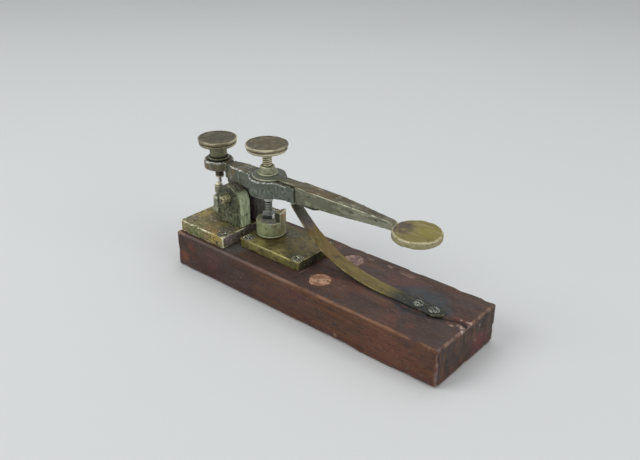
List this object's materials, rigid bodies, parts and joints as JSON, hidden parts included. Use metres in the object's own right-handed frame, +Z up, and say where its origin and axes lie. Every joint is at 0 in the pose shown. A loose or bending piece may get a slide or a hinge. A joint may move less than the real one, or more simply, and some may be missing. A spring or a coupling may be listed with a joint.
{
  "type": "telegraph key",
  "caption": "Straight telegraph key: rocking lever with round finger disc, arched bearing, thumbscrew contacts and a leaf return spring on a wooden board.",
  "frame": {"origin": "centre of the flat underside of the wooden board", "axes": "+X along the board from the back stop to the finger disc, +Z up, +Y to the left of someone who looks along +X; the key stands at rest with its working contact open"},
  "size_m": [0.1871, 0.054, 0.083],
  "materials": {
    "board_wood": "old reddish hardwood, worn and scratched",
    "plug_wood": "paler wood, end grain, sanded flush",
    "plate_brass": "aged brass, dulled brown",
    "cheek_brass": "dark patina with pale green edges",
    "turned_brass": "turned, dulled tops with bright worn rims",
    "arm_brass": "drawn brass, worn by the hand",
    "spring_brass": "rolled spring brass, dark and mottled",
    "grey_casting": "grey cast metal with bright worn edges",
    "screw_steel": "dull steel with burred slots",
    "dark_steel": "blackened steel",
    "contact_metal": "bright hard contact metal"
  },
  "bodies": {
    "base": {"base_board": "board_wood", "near_plug": "plug_wood", "far_plug": "plug_wood", "rear_plate": "plate_brass", "rear_plate_screws": "screw_steel", "front_plate": "plate_brass", "front_plate_screws": "screw_steel", "near_cheek": "cheek_brass", "far_cheek": "cheek_brass", "cheek_screws": "screw_steel", "pivot_pin": "screw_steel", "stop_post": "turned_brass", "stop_bead": "contact_metal", "contact_pillar": "cheek_brass", "pillar_screw": "screw_steel", "contact_block": "contact_metal", "leaf_spring": "spring_brass", "spring_foot_screws": "dark_steel"},
    "lever": {"lever_casting": "grey_casting", "lever_arm": "arm_brass", "spring_clamp_screws": "dark_steel", "finger_disc": "arm_brass", "disc_screw": "screw_steel"},
    "working_screw": {"front_thumbscrew": "turned_brass", "contact_rod": "contact_metal"},
    "locking_nut": {"lock_nut": "turned_brass"},
    "stop_screw": {"rear_thumbscrew": "turned_brass", "stop_pin": "contact_metal"},
    "locking_ring": {"lock_ring": "turned_brass"}
  },
  "joints": [
    {"name": "lever_pivot", "type": "hinge", "parent": "base", "child": "lever", "pos_m": [-0.0646, 0.001, 0.0464], "axis": [0, 1, 0], "range_deg": [0, 1.6], "stiffness_Nm_per_rad": 1.5, "springref_deg": -8.02, "deforming": ["leaf_spring"]},
    {"name": "working_screw_turn", "type": "hinge", "parent": "lever", "child": "working_screw", "pos_m": [-0.042, 0.001, 0.0637], "axis": [0, 0, 1], "range_deg": [-180, 180]},
    {"name": "locking_nut_turn", "type": "hinge", "parent": "lever", "child": "locking_nut", "pos_m": [-0.042, 0.001, 0.0652], "axis": [0, 0, 1], "range_deg": [-180, 180]},
    {"name": "stop_screw_turn", "type": "hinge", "parent": "lever", "child": "stop_screw", "pos_m": [-0.0826, 0.001, 0.0637], "axis": [0, 0, 1], "range_deg": [-180, 180]},
    {"name": "locking_ring_turn", "type": "hinge", "parent": "lever", "child": "locking_ring", "pos_m": [-0.0826, 0.001, 0.0637], "axis": [0, 0, 1], "range_deg": [-180, 180]}
  ]
}
